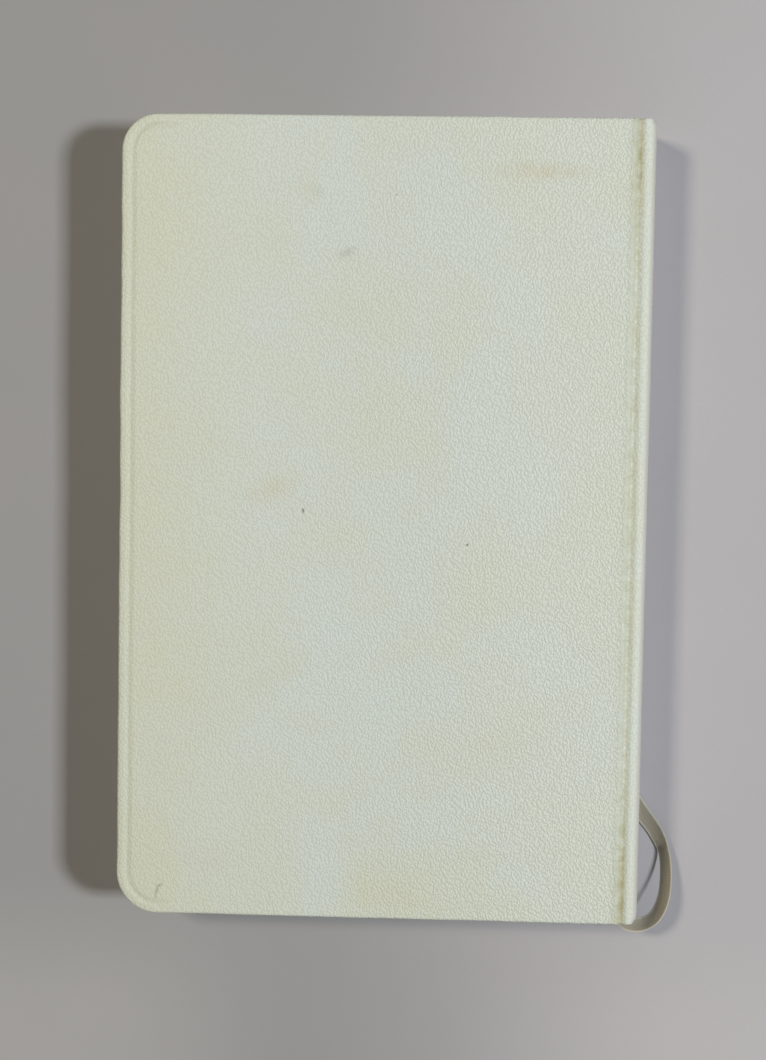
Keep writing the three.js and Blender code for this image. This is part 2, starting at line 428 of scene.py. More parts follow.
def leather_grain(tree, place):
    """Height of the pebble grain, from 0 in the valleys to about 1.3; place is unrolled."""
    wavy = node(
        tree, "ShaderNodeTexNoise", {"Vector": place, "Scale": 0.35, "Detail": 2.0}
    ).outputs[1]
    offset = scaled_vector(tree, wavy, 0.9)
    bent = node(
        tree, "ShaderNodeVectorMath", {0: place, 1: offset}, operation="ADD"
    ).outputs[0]
    leaning = stretch(tree, bent, (1.0, 0.78, 1.0), (0, 0, 28))
    cells = node(
        tree, "ShaderNodeTexVoronoi",
        {"Vector": leaning, "Scale": PEBBLES_PER_MM, "Smoothness": 0.25},
        feature="SMOOTH_F1", voronoi_dimensions="2D",
    ).outputs[0]
    large = remap(tree, cells, 0.68, 0.10)
    small_cells = node(
        tree, "ShaderNodeTexVoronoi", {"Vector": bent, "Scale": 2.3 * PEBBLES_PER_MM},
        feature="F1", voronoi_dimensions="2D",
    ).outputs[0]
    small = remap(tree, small_cells, 0.7, 0.1)
    fine = noise_node(tree, place, 7.0, 3.0)
    both = math_node(tree, "MULTIPLY_ADD", small, 0.22, large)
    return math_node(tree, "MULTIPLY_ADD", fine, 0.12, both)


def marks_share(tree, place, marks):
    """How much of a mark there is; each mark is centre, half size, turn in degrees, and share."""
    total = None
    for centre, size, turn, strength in marks:
        share = spot(tree, place, centre, size, turn)
        share = times(tree, share, strength)
        total = share if total is None else math_node(tree, "ADD", total, share, clamp=True)
    return total


def leather_tones(tree, place, grain):
    """White leather, greenish to bluish, yellowed at the edges, darker between the pebbles, and
    brightened towards the spine by painted light.
    """
    x, y = axes(tree, place)[:2]
    patches = remap(tree, noise_node(tree, place, 0.05, 4.0, 0.65), 0.36, 0.72, 0.0, 0.5)
    fore_side = remap(tree, x, -24.0, -44.0, 0.0, 0.7)
    spine_side = remap(tree, x, 36.0, 43.0, 0.0, 0.3)
    tail_side = remap(tree, y, -50.0, -72.0, 0.0, 0.5)
    sides = math_node(tree, "MAXIMUM", math_node(tree, "MAXIMUM", fore_side, spine_side), tail_side)
    aged = math_node(tree, "ADD", patches, sides, clamp=True)
    colour = mix(tree, aged, WHITE_GREEN, WHITE_YELLOW)
    turned = stretch(tree, place, (1, 1, 1), (0, 0, 50))
    cool = remap(tree, noise_node(tree, turned, 0.06, 3.0), 0.36, 0.70, 0.0, 0.7)
    cool = times(tree, cool, remap(tree, x, -34.0, -8.0, 0.1, 1.0))
    colour = mix(tree, cool, colour, WHITE_BLUE)
    # Painted light: the leather's colour brightens towards the spine side.
    colour = mix(tree, remap(tree, x, 0.0, 38.0, 0.0, 0.5), colour, PAINTED_LIGHT_WHITE)
    valleys = times(tree, remap(tree, grain, 0.85, 0.15), 0.30)
    return mix(tree, valleys, colour, VALLEY)


def joint_colour(tree, place, colour):
    """The groove, yellowed and darkened by painted shade, browner at its bottom and its ends, and
    the spine greyed by painted shade.
    """
    x, y = axes(tree, place)[:2]
    uneven = remap(tree, noise_node(tree, place, 0.5, 3.0), 0.3, 0.7)
    # Real yellowing in the groove, with painted shade darkening it left of the ridge.
    groove_stain_and_shade = remap(tree, x, GROOVE - 2.4, GROOVE - 0.1)
    groove_stain_and_shade = times(tree, groove_stain_and_shade, remap(tree, x, GROOVE + 0.55, GROOVE + 0.15))
    groove_stain_and_shade = times(tree, groove_stain_and_shade, remap(tree, absolute(tree, y), 40.0, 68.0, 0.55, 1.0))
    groove_stain_and_shade = times(tree, groove_stain_and_shade, math_node(tree, "MULTIPLY_ADD", uneven, 0.5, 0.4))
    colour = mix(tree, groove_stain_and_shade, colour, GROOVE_STAIN_AND_SHADE)
    from_groove = absolute(tree, math_node(tree, "SUBTRACT", x, GROOVE + 0.15))
    patchy = math_node(tree, "MULTIPLY_ADD", uneven, 0.6, 0.4)
    worn = times(tree, remap(tree, from_groove, 0.6, 0.1), patchy)
    worn_ends = remap(tree, absolute(tree, y), 46.0, 67.0, 0.15, 0.8)
    colour = mix(tree, times(tree, worn, worn_ends), colour, GROOVE_BROWN)
    # Painted shade: the leather is greyed from the ridge out over the rounded spine.
    spine_shade = times(tree, remap(tree, x, 45.8, 47.4), 0.95)
    return mix(tree, spine_shade, colour, PAINTED_SPINE_SHADE)


def marked_colour(tree, place, colour):
    """Painted shade along the crease by the edge, and the stains, scuffs and specks of the back
    cover.
    """
    crease = node(tree, "ShaderNodeAttribute", attribute_name="crease").outputs["Fac"]
    # Painted shade darkens the leather along the crease.
    colour = mix(tree, times(tree, crease, 0.5), colour, PAINTED_CREASE_SHADE)
    side = math_node(tree, "GREATER_THAN", axes(tree, place)[2], THICKNESS - 0.9)
    blotch = math_node(tree, "MULTIPLY_ADD", noise_node(tree, place, 0.45, 4.0, 0.65), 1.6, -0.25)
    for marks, tone in ((STAINS, STAIN_BEIGE), (SCUFFS, SCUFF_GREY)):
        share = times(tree, marks_share(tree, place, marks), blotch, clamp=True)
        colour = mix(tree, times(tree, share, side), colour, tone)
    speck = marks_share(tree, place, SPECKS)
    return mix(tree, times(tree, speck, side), colour, DIRT_BROWN)


def leather_material():
    material, tree = start_material("white_leather", 0.52, 0.42)
    place = kept_place(tree, "rest")
    grain = leather_grain(tree, kept_place(tree, "unrolled"))
    colour = joint_colour(tree, place, leather_tones(tree, place, grain))
    colour = marked_colour(tree, place, colour)
    shine = remap(tree, grain, 0.2, 1.2, 0.60, 0.44)
    tree.links.new(shine, tree.nodes[SURFACE].inputs["Roughness"])
    across = axes(tree, place)[0]
    raised = times(tree, grain, remap(tree, across, -42.0, 42.0, 0.75, 1.3))
    stretched = remap(tree, across, GROOVE - 0.2, GROOVE + 0.6, 1.0, 0.5)
    raised = times(tree, raised, stretched)
    return finish_material(material, colour, raised, 0.075, 0.8)


# ---- leather pieces
def spine_line():
    """X and Z of the leather's outer face, from the back cover's edge round to the front's."""
    back = [(x, THICKNESS - depth) for x, depth in JOINT]
    heights = np.linspace(THICKNESS - 2.72, 2.72, 12)
    arc = [(back_at(height, SPINE_LEATHER), height) for height in heights]
    front = [(x, depth) for x, depth in reversed(JOINT)]
    return smooth_line(back + arc + front, SPINE_STEP)


ROWS = outline_rows(
    FORE_EDGE + EDGE_ROLL, TAIL + TAIL_RADIUS, HEAD - HEAD_RADIUS,
    TAIL_RADIUS - EDGE_ROLL, HEAD_RADIUS - EDGE_ROLL, GRAIN_STEP, CORNER_STEPS,
)
LINE = spine_line()
LINE_RUN = run_along(LINE)
LINE_TANGENT = direction_along(LINE)
SEAMS = [int(np.argmin(np.abs(LINE[:, 1] - height))) for height in SEAM_HEIGHTS]
UNROLLED = 2 * BOARD_EDGE + LINE_RUN[-1]
CAP_RADIUS = 1.6
CAP_FROM, CAP_TO = 45.4, 47.4  # between these the spine starts to be rounded at its ends
LEAN_FROM, LEAN_TO = 46.2, 47.6
ROLL_LEAN = 0.5  # the spine's rolled ends lean inwards by this share of their reach
CREASE_IN = 2.1  # from the cover's outline in to the crease along it


def head_cap(x, y):
    """How far the spine draws in towards its rounded ends."""
    past = np.clip(np.abs(y) - (HEAD - CAP_RADIUS), 0, 1.1)
    return (CAP_RADIUS - np.sqrt(CAP_RADIUS**2 - past**2)) * ease(x, CAP_FROM, CAP_TO)


def edge_distance(x, y):
    """Distance in from the cover's outline along the fore-edge and its two round corners."""
    near = x - FORE_EDGE
    head_corner = (HEAD_RADIUS, HEAD - HEAD_RADIUS, 1)
    tail_corner = (TAIL_RADIUS, TAIL + TAIL_RADIUS, -1)
    for radius, centre_y, side in (head_corner, tail_corner):
        in_corner = ((y - centre_y) * side > 0) & (x < FORE_EDGE + radius)
        from_centre = np.hypot(x - FORE_EDGE - radius, y - centre_y)
        near = np.where(in_corner, radius - from_centre, near)
        past = ((y - centre_y) * side > 0) & (x >= FORE_EDGE + radius)
        near = np.where(past, np.minimum(near, radius - np.abs(y - centre_y)), near)
    return near


def leather_relief(u, y):
    """How far the face stands out: waves of the board, and leather cockling over it."""
    broad = 0.09 * soft_noise(u, y, 34.0, 3.0)
    middling = 0.045 * soft_noise(u, y, 11.0, 8.0)
    pebbles = 0.022 * soft_noise(u, y, 1.5, 15.0)
    return broad + middling + pebbles - 0.12


def from_crease(x, y):
    """Distance from the crease, which wavers a little."""
    return edge_distance(x, y) + 0.12 * soft_noise(y, x, 7.0, 21.0) - CREASE_IN


def past_corner(x):
    return ease(x, FORE_EDGE + 4.0, FORE_EDGE + 12.0)


def edge_relief(x, y):
    """The rolled band along the fore-edge and the crease inside it."""
    crease = -0.20 * bell(from_crease(x, y), 0, 0.30)
    band = 0.10 * bell(edge_distance(x, y), 1.15, 0.55)
    return (crease + band) * (1 - 0.9 * past_corner(x))


def crease_shade(x, y):
    """How much painted shade darkens the leather along the crease, from 0 to 1."""
    return bell(from_crease(x, y), 0, 0.34) * (1 - past_corner(x))


def panel_columns(mirrored):
    """The flat of a cover: its points, outward normals, relief, and X on the unrolled sheet."""
    count = int((BOARD_EDGE - FORE_EDGE) / GRAIN_STEP)
    share = np.linspace(0, 1, count, endpoint=False)[None, :]
    y, left = ROWS[:, 0][:, None], ROWS[:, 1][:, None]
    x = left + (BOARD_EDGE - left) * share
    x = x + 0.16 * soft_noise(y, 0, 9.0, 30.0) * (1 - share) ** 6
    y = y + 0 * x
    wobble = 0.10 * soft_noise(x, np.sign(y), 12.0, 33.0)
    y = y + wobble * ease(np.abs(y), HEAD - 6, HEAD)
    z = 0 * x + (0 if mirrored else THICKNESS)
    normal = np.zeros(x.shape + (3,))
    normal[..., 2] = -1 if mirrored else 1
    u = UNROLLED - x if mirrored else x
    return np.stack([x, y, z], -1), normal, leather_relief(u, y) + edge_relief(x, y), u


def line_columns(first, last, mirrored=False):
    """The same for part of the spine's line. A mirrored one starts at the front cover's edge."""
    y = ROWS[:, 0][:, None]
    x = LINE[first:last, 0][None, :] + 0 * y
    z = LINE[first:last, 1][None, :] + 0 * y
    x = x - head_cap(x, y)
    y = y + 0 * x
    normal = np.zeros(x.shape + (3,))
    normal[..., 0] = -LINE_TANGENT[first:last, 1]
    normal[..., 2] = LINE_TANGENT[first:last, 0]
    u = BOARD_EDGE + LINE_RUN[first:last][None, :] + 0 * x
    if mirrored:
        z = THICKNESS - z
        normal[..., 2] *= -1
        u = UNROLLED - u
    return np.stack([x, y, z], -1), normal, leather_relief(u, y), u


def rim_profile(thickness, turn_in):
    """(outwards, inwards) steps that roll the leather over an edge and turn it in."""
    bend = min(EDGE_ROLL, thickness / 2 - 0.01)
    steps = []
    for a in np.radians((18, 36, 54, 72, 90)):
        steps.append((EDGE_ROLL * math.sin(a), bend * (1 - math.cos(a))))
    for a in np.radians((0, 22, 45, 68, 90)):
        steps.append((EDGE_ROLL * math.cos(a), thickness - bend + bend * math.sin(a)))
    for share in (0.3, 0.6, 1.0):
        steps.append((-turn_in * share, thickness))
    steps.append((-turn_in, thickness - min(0.28, thickness * 0.6)))
    return steps


def sweep_rim(points, normal, outward, lean, thickness, turn_in):
    """Rows of points that carry the leather's edge over and in, one row per step."""
    profiles = np.array([rim_profile(t, n) for t, n in zip(thickness, turn_in)])
    rings = []
    for k in range(profiles.shape[1]):
        reach = profiles[:, k, 0]
        out = reach[:, None] * outward
        out[:, 0] -= lean * np.maximum(reach, 0)
        down = profiles[:, k, 1][:, None] * normal
        rings.append(points + out - down)
    return rings


def edge_order(rows, columns, full):
    """The grid's edge from the spine side round the head, fore-edge and tail, and back."""
    index = np.arange(rows * columns).reshape(rows, columns)
    head = index[-1, ::-1]
    tail = index[0, :]
    return [np.concatenate([head, index[-2::-1, 0], tail[1:]])] if full else [head, tail]


def leather_piece(name, base, normal, out, u, full, flip, material):
    """Leather over the given face: the face, its rolled edges and its inner side at the joint."""
    rows, columns = base.shape[:2]
    points = base + normal * out[..., None]
    flat, flat_normal = points.reshape(-1, 3), normal.reshape(-1, 3)
    all_points = [flat]
    sheet = np.column_stack([u.ravel(), flat[:, 1], np.zeros(len(flat))])
    all_flat = [sheet]
    faces = grid_faces(rows, columns, 0, flip)
    total = len(flat)
    for order in edge_order(rows, columns, full):
        outward = outward_directions(order, ROWS, rows, columns)
        board = 1 - ease(flat[order, 0], BOARD_EDGE - 0.7, BOARD_EDGE + 0.3)
        lean = ROLL_LEAN * ease(flat[order, 0], LEAN_FROM, LEAN_TO)
        thickness = LEATHER + (COVER_DEPTH - LEATHER) * board
        turn_in = SPINE_TURN_IN + (TURN_IN - EDGE_ROLL - SPINE_TURN_IN) * board
        rings = sweep_rim(flat[order], flat_normal[order], outward, lean, thickness, turn_in)
        above = order
        across = outward * ((-1, 1, 1) if flip else (1, 1, 1))
        run, last = np.zeros(len(order)), flat[order]
        for ring in rings:
            below = total + np.arange(len(order))
            faces += ring_faces(above, below, False, flip)
            all_points.append(ring)
            run = run + np.linalg.norm(ring - last, axis=1)
            all_flat.append(sheet[order] + across * run[:, None])
            total += len(order)
            above, last = below, ring
    keep = np.where(base[0, :, 0] > BOARD_EDGE - 0.4)[0]
    inner = (points - normal * (LEATHER - 0.04))[:, keep]
    all_points.append(inner.reshape(-1, 3))
    all_flat.append(sheet.reshape(rows, columns, 3)[:, keep].reshape(-1, 3))
    faces += grid_faces(rows, len(keep), total, not flip)
    all_points = np.vstack(all_points)
    shade = np.zeros(len(all_points))
    # Painted shade along the crease, kept on the points for the material.
    if full:
        shade[: len(flat)] = crease_shade(flat[:, 0], flat[:, 1])
    all_flat = np.vstack(all_flat) * MM
    return make_piece(name, all_points, faces, material, shade, all_flat)


def cover_leather(name, mirrored, material):
    parts = panel_columns(mirrored), line_columns(0, SEAMS[0] + 1, mirrored)
    base, normal, out, u = (np.concatenate(pair, axis=1) for pair in zip(*parts))
    return leather_piece(name, base, normal, out, u, True, mirrored, material)


def spine_strip(name, first, last, material):
    base, normal, out, u = line_columns(first, last + 1)
    return leather_piece(name, base, normal, out, u, False, False, material)


def bend_back(made):
    """Bake the placing of a piece of the back into its points."""
    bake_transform(made)


def make_leather():
    material = leather_material()
    for side, face in (("back", THICKNESS), ("front", 0)):
        cover = cover_leather(f"{side}_cover_leather", side == "front", material)
        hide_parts(f"{side}_leather", "spine_leather")
        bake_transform(cover)
    for number, part in enumerate(("upper", "middle", "lower")):
        strip = spine_strip(f"spine_leather_{part}", SEAMS[number], SEAMS[number + 1], material)
        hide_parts("spine_leather")
        bend_back(strip)


# ---- ribbon
RIBBON_WIDTH = 3.0
RIBBON_THICKNESS = 0.22
LOOP_BANK = 52.0  # degrees
LOOP_FROM, LOOP_FULL = 6.65, 5.4  # the strip starts to lean at the first height
RIBBON_DARK = (0.270, 0.242, 0.180)
RIBBON_LIGHT = (0.560, 0.525, 0.430)
RIBBON_PAINTED_HIGHLIGHT = (0.72, 0.70, 0.62)
RIBBON_GAPS = (0.20, 0.175, 0.125)
RIBBON_ROUTE = [  # from the head down between the leaves, out at the tail and down to the floor
    (43.9, 71.9, 6.71), (43.7, 62, 6.71), (43.6, 45, 6.71), (43.6, 25, 6.71),
    (43.6, 5, 6.71), (43.6, -15, 6.71), (43.7, -35, 6.71), (43.8, -55, 6.71),
    (44, -67.5, 6.71), (44.2, -71, 6.6), (45.1, -73.3, 6.35), (47, -74.7, 5.95),
    (49.6, -74.9, 5.5), (52, -73.4, 4.9), (53.5, -70.4, 4), (54.1, -66.4, 2.6),
    (53.8, -62.2, 1.35), (52.2, -58.5, 0.75), (50, -55.5, 0.4), (48.2, -53, 0.2),
    (47.2, -51, 0.18),
]


def thread_bands(tree, uv, scale, distortion, direction):
    return node(
        tree, "ShaderNodeTexWave", {"Vector": uv, "Scale": scale, "Distortion": distortion},
        wave_type="BANDS", bands_direction=direction,
    ).outputs[1]


def ribbon_material():
    material, tree = start_material("ribbon_satin", 0.42, 0.4)
    uv = node(tree, "ShaderNodeUVMap", uv_map="weave").outputs[0]
    across = axes(tree, uv)[0]
    warp = thread_bands(tree, uv, 1.9, 0.6, "X")
    weft = thread_bands(tree, uv, 1.1, 0.4, "Y")
    weave = math_node(tree, "MULTIPLY_ADD", weft, 0.7, warp)
    # Painted highlight along both edges of the ribbon.
    edge = remap(tree, absolute(tree, across), 1.0, 1.35)
    streaks = noise_node(tree, stretch(tree, uv, (4.0, 0.25, 1.0)), 1.0, 3.0)
    colour = mix(tree, streaks, RIBBON_DARK, RIBBON_LIGHT)
    colour = mix(tree, times(tree, edge, 0.75), colour, RIBBON_PAINTED_HIGHLIGHT)
    dark = times(tree, remap(tree, weave, 0.7, 0.1), 0.35)
    colour = mix(tree, dark, colour, RIBBON_GAPS)
    surface = tree.nodes[SURFACE]
    surface.inputs["Sheen Weight"].default_value = 0.25
    surface.inputs["Sheen Roughness"].default_value = 0.4
    return finish_material(material, colour, weave, 0.03, 0.8)


def ribbon_section():
    """The strip's outline: thin, with a bead along each selvedge. Across, and up."""
    across = np.linspace(-1, 1, 25)
    half = RIBBON_WIDTH / 2
    bead = bell(np.abs(across), 0.93, 0.07)
    thick = RIBBON_THICKNESS * (0.34 + 0.16 * bead) * np.sqrt(1 - np.abs(across) ** 24 * 0.97)
    cup = 0.10 * across**2 - 0.03
    top = np.column_stack([across * half, cup + thick])
    bottom = np.column_stack([across * half, cup - thick])[::-1]
    return np.vstack([top, bottom])


def ribbon_frames(line):
    """The strip's sideways and upward directions: level inside, its outer edge up in the loop."""
    tangent = direction_along(line)
    side = np.cross(tangent, (0, 0, 1))
    side /= np.linalg.norm(side, axis=1)[:, None]
    up = np.cross(side, tangent)
    outside = ease(line[:, 2], LOOP_FROM, LOOP_FULL)
    lowest = np.clip((line[:, 2] - 0.12) / (RIBBON_WIDTH / 2), 0, 1)
    bank = np.minimum(np.arcsin(lowest), math.radians(LOOP_BANK)) * outside
    bank = bank[:, None]
    return side * np.cos(bank) + up * np.sin(bank), up * np.cos(bank) - side * np.sin(bank)


def make_ribbon():
    line = smooth_line(RIBBON_ROUTE, 0.4)
    run = run_along(line)
    side, up = ribbon_frames(line)
    section = ribbon_section()
    lift = np.minimum(1, line[:, 2] / 0.5)[:, None, None]
    ripple = 0.05 * soft_noise(run, 0, 6.0, 4.0)[:, None, None]
    across, rise = section[:, 0][None, :, None], section[:, 1][None, :, None]
    points = line[:, None, :] + side[:, None, :] * across
    points = points + up[:, None, :] * (rise + ripple * lift)
    count = len(section)
    faces = tube_faces(len(line), count)
    faces.append(list(range(count)))
    faces.append([(len(line) - 1) * count + k for k in reversed(range(count))])
    points[..., 2] = np.maximum(points[..., 2], 0.03)
    made = make_piece("ribbon", points, faces, ribbon_material())
    add_uv(made, "weave", across[..., 0], run[:, None])
    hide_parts("ribbon_marker")
    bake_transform(made)


make_ribbon()
make_leather()


# ---- leaves
LEAF_STEP = 3.0
LEAF_CORNER_STEPS = 10
BROWNED_IN = 7.0  # how far in from their edges the leaves are browned
LEAVES_SHOWN = 10  # in one gathering; a real one has more and thinner leaves
LEAF_ROWS = outline_rows(
    LEAF_LOW[0], LEAF_LOW[1] + LEAF_RADIUS, LEAF_HIGH[1] - LEAF_RADIUS,
    LEAF_RADIUS, LEAF_RADIUS, LEAF_STEP, LEAF_CORNER_STEPS,
)


def leaf_shares(fold_zone):
    """Shares of a leaf's width for its columns, closer together near the fold."""
    flat = np.linspace(0, 1 - fold_zone, 26, endpoint=False)
    fold = np.linspace(1 - fold_zone, 1, 30 if fold_zone > 0.1 else 10)
    return np.concatenate([flat, fold])


def leaf_points(height, right, shares):
    """A grid of points over one leaf."""
    left = LEAF_ROWS[:, 1][:, None]
    x = left + (right - left) * shares[None, :]
    y = LEAF_ROWS[:, 0][:, None] + 0 * x
    return np.stack([x, y, np.broadcast_to(height, x.shape)], -1)


def leaf_edge(rows, columns):
    index = np.arange(rows * columns).reshape(rows, columns)
    return np.concatenate(
        [index[-1, ::-1], index[-2::-1, 0], index[0, 1:], index[1:-1, -1]]
    )


def leaf_outward(order, rows, columns):
    """The same for a leaf, whose spine side is part of its edge too. X and Y only."""
    row, column = order // columns, order % columns
    outward = outward_directions(order, LEAF_ROWS, rows, columns)[:, :2]
    at_right = column == columns - 1
    outward[at_right, 0] = 1.0
    outward[at_right & ((row == 0) | (row == rows - 1))] *= math.sqrt(0.5)
    return outward


def fold_reach(height, low, high, right):
    """X of the spine side at a height: round folds where the leaves are sewn."""
    half = (high - low) / 2
    from_middle = np.clip(abs(height - low - half) / half, 0, 1)
    return right(height) - half * (1 - math.sqrt(1 - 0.96 * from_middle**2))


def leaf_shift(ring, leaf_number, seed):
    """How far out of line the edge of a leaf is; number 0 is the gap between two leaves."""
    if leaf_number == 0:
        return np.full(len(ring), -0.17)
    along = ring[:, 0] + ring[:, 1]
    uneven = 0.05 * soft_noise(along, leaf_number * 5.0, 20.0, seed + leaf_number)
    return -0.05 + uneven - 0.04 * ((leaf_number * 7) % 3)


def leaf_block(name, node_name, leaves, seed, material, right, fold_zone=0.04, waves=0.03):
    """A gathering or group of leaves: wavy top and bottom pages, and every leaf's own edge."""
    low, high = (float(corner[2]) for corner in node_box(node_name))
    shares = leaf_shares(fold_zone)
    rows, columns = len(LEAF_ROWS), len(shares)
    order = leaf_edge(rows, columns)
    outward = leaf_outward(order, rows, columns)
    leaf = (high - low) / leaves
    rings = []  # height and leaf number
    for k in range(leaves):
        rings += [(low + (k + 0.2) * leaf, k + 1), (low + (k + 0.8) * leaf, k + 1)]
        if k < leaves - 1:
            rings.append((low + (k + 1) * leaf, 0))
    bottom = leaf_points(low, fold_reach(low, low, high, right), shares)
    top = leaf_points(high, fold_reach(high, low, high, right), shares)
    wave = waves * (1 + soft_noise(top[..., 0], top[..., 1], 16.0, seed)) / 2
    inside = np.zeros((rows, columns))
    inside[1:-1, 1:-1] = 1
    top[..., 2] -= wave * inside
    bottom[..., 2] += wave * inside
    all_points = [bottom.reshape(-1, 3), top.reshape(-1, 3)]
    faces = grid_faces(rows, columns, 0, True)
    faces += grid_faces(rows, columns, rows * columns)
    total = 2 * rows * columns
    above = order
    for height, leaf_number in rings:
        ring = leaf_points(height, fold_reach(height, low, high, right), shares)
        ring = ring.reshape(-1, 3)[order]
        shift = leaf_shift(ring, leaf_number, seed)
        shift = np.where(order % columns == columns - 1, np.minimum(shift, 0) * 0.2, shift)
        ring[:, :2] += outward * shift[:, None]
        below = total + np.arange(len(order))
        faces += ring_faces(above, below, True)
        all_points.append(ring)
        total += len(order)
        above = below
    faces += ring_faces(above, rows * columns + order, True)
    return make_piece(name, np.vstack(all_points), faces, material)


def near_edges(tree, place, side_from, side_to, end_from, end_to):
    """Rises from 0 to 1 towards the fore-edge, between two X, and towards the head and tail."""
    x, y = axes(tree, place)[:2]
    side = remap(tree, x, side_from, side_to)
    ends = remap(tree, absolute(tree, y), end_from, end_to)
    return math_node(tree, "MAXIMUM", side, ends)


def paper_fibres(tree, place):
    return noise_node(tree, stretch(tree, place, (2.0, 5.0, 5.0), (0, 0, 20)), 1.0, 3.0)


def paper_material(name, light, dark, edge_tone):
    """Thin opaque printing paper: fibres, faint mottling and browned edges."""
    material, tree = start_material(name, 0.78, 0.25)
    place = kept_place(tree, "rest")
    mottle = remap(tree, noise_node(tree, place, 0.09, 4.0, 0.6), 0.3, 0.7)
    colour = mix(tree, mottle, light, dark)
    left, end = LEAF_LOW[0], LEAF_HIGH[1]
    near = near_edges(tree, place, left + BROWNED_IN, left, end - BROWNED_IN, end)
    colour = mix(tree, times(tree, near, 0.6), colour, edge_tone)
    layers = noise_node(tree, stretch(tree, place, (0.15, 0.15, 14.0)), 1.0, 2.0)
    on_edge = times(tree, remap(tree, layers, 0.35, 0.6), 0.25)
    darker_edge = [c * 0.72 for c in edge_tone]
    colour = mix(tree, times(tree, on_edge, near), colour, darker_edge)
    fibres = paper_fibres(tree, place)
    colour = mix(tree, times(tree, fibres, 0.10), colour, dark)
    return finish_material(material, colour, fibres, 0.012, 0.6)


PAPER_LIGHT = (0.80, 0.765, 0.66)
PAPER_DARK = (0.745, 0.70, 0.58)
PAPER_EDGE = (0.68, 0.60, 0.43)
ENDPAPER_LIGHT = (0.80, 0.79, 0.72)
ENDPAPER_DARK = (0.74, 0.725, 0.64)
ENDPAPER_EDGE = (0.70, 0.66, 0.53)


def folds_at(height):
    return float(back_at(height, 0.0))


def make_leaves():
    paper = paper_material("page_paper", PAPER_LIGHT, PAPER_DARK, PAPER_EDGE)
    end = paper_material("endpaper", ENDPAPER_LIGHT, ENDPAPER_DARK, ENDPAPER_EDGE)
    bodies = ["front_block"] * 3 + ["front_inner_block"] * 3
    bodies += ["back_inner_block"] * 3 + ["back_block"] * 3
    for number, body in enumerate(bodies, 1):
        cad = f"gathering_{number:02d}"
        made = leaf_block(
            f"leaves_{number:02d}", cad, LEAVES_SHOWN, number * 3.1, paper, folds_at
        )
        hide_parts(cad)
        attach(made, body)
    for number in range(1, 5):
        cad = f"leaf_group_{number}"
        made = leaf_block(
            f"opened_leaves_{number}", cad, 4, 50 + number * 2.3, paper,
            folds_at, 0.22, 0.04,
        )
        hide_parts(cad)
        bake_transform(made)
    for side, far in (("front", SHOULDER - 1.3), ("back", BOARD_EDGE - 6.0)):
        cad = f"{side}_flyleaf"
        made = leaf_block(
            f"{side}_flyleaf_sheet", cad, 1, 70 + far, end, lambda height: SHOULDER,
            0.12, 0.02,
        )
        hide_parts(cad)
        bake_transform(made)


make_leaves()


# ---- layers of the back
def woven_material(name, light, dark, threads, depth):
    """Plain weave of crossing threads, `threads` of them to a millimetre."""
    material, tree = start_material(name, 0.85, 0.15)
    place = kept_place(tree, "rest")
    y, z = axes(tree, place)[1:]
    along = math_node(tree, "SINE", times(tree, y, threads * 2 * math.pi))
    across = math_node(tree, "SINE", times(tree, z, threads * 2 * math.pi))
    weave = math_node(tree, "MULTIPLY_ADD", times(tree, along, across), 0.5, 0.5)
    uneven = noise_node(tree, place, 1.2, 4.0)
    share = times(tree, math_node(tree, "ADD", weave, uneven), 0.6, clamp=True)
    colour = mix(tree, share, dark, light)
    return finish_material(material, colour, weave, depth, 0.8)


def kraft_material():
    material, tree = start_material("lining_paper", 0.82, 0.2)
    place = kept_place(tree, "rest")
    fibres = noise_node(tree, stretch(tree, place, (3.0, 0.8, 3.0)), 1.3, 5.0, 0.6)
    flecks = remap(tree, noise_node(tree, place, 3.2, 2.0), 0.62, 0.72)
    colour = mix(tree, fibres, (0.42, 0.30, 0.17), (0.56, 0.43, 0.28))
    colour = mix(tree, times(tree, flecks, 0.5), colour, (0.22, 0.14, 0.08))
    return finish_material(material, colour, fibres, 0.02, 0.7)


LAYER_HEIGHTS = (2.32, 5.6, 8.9, 12.18)


def back_layer(name, cad, layer, step, ripple, material):
    """One glued layer of the back, as three strips one above the other."""
    low_y, high_y = (corner[1] for corner in node_box(cad))
    for part in range(3):
        bottom, top = LAYER_HEIGHTS[part], LAYER_HEIGHTS[part + 1]
        heights = np.linspace(bottom, top, 18)[None, :]
        ys = np.linspace(low_y, high_y, max(4, int((high_y - low_y) / step)))[:, None]
        fray = 0.06 * soft_noise(heights, np.sign(ys), 0.7, 5.0)
        at_end = np.zeros(ys.shape)
        at_end[0], at_end[-1] = -1, 1
        y = ys + fray * at_end
        uneven = ripple * soft_noise(ys, heights, 1.6, 12.0)
        outer = np.stack([back_at(heights, layer[1] + uneven), y, heights + 0 * y], -1)
        inner = np.stack([back_at(heights, layer[0]) + 0 * y, y, heights + 0 * y], -1)
        rows, columns = outer.shape[:2]
        faces = grid_faces(rows, columns, 0, True) + grid_faces(rows, columns, rows * columns)
        index = np.arange(rows * columns).reshape(rows, columns)
        edge = np.concatenate([index[0, :-1], index[:-1, -1], index[-1, :0:-1], index[:0:-1, 0]])
        faces += ring_faces(edge, edge + rows * columns, True)
        points = np.vstack([outer.reshape(-1, 3), inner.reshape(-1, 3)])
        made = make_piece(f"{name}_{part + 1}", points, faces, material)
        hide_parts(cad)
        bend_back(made)


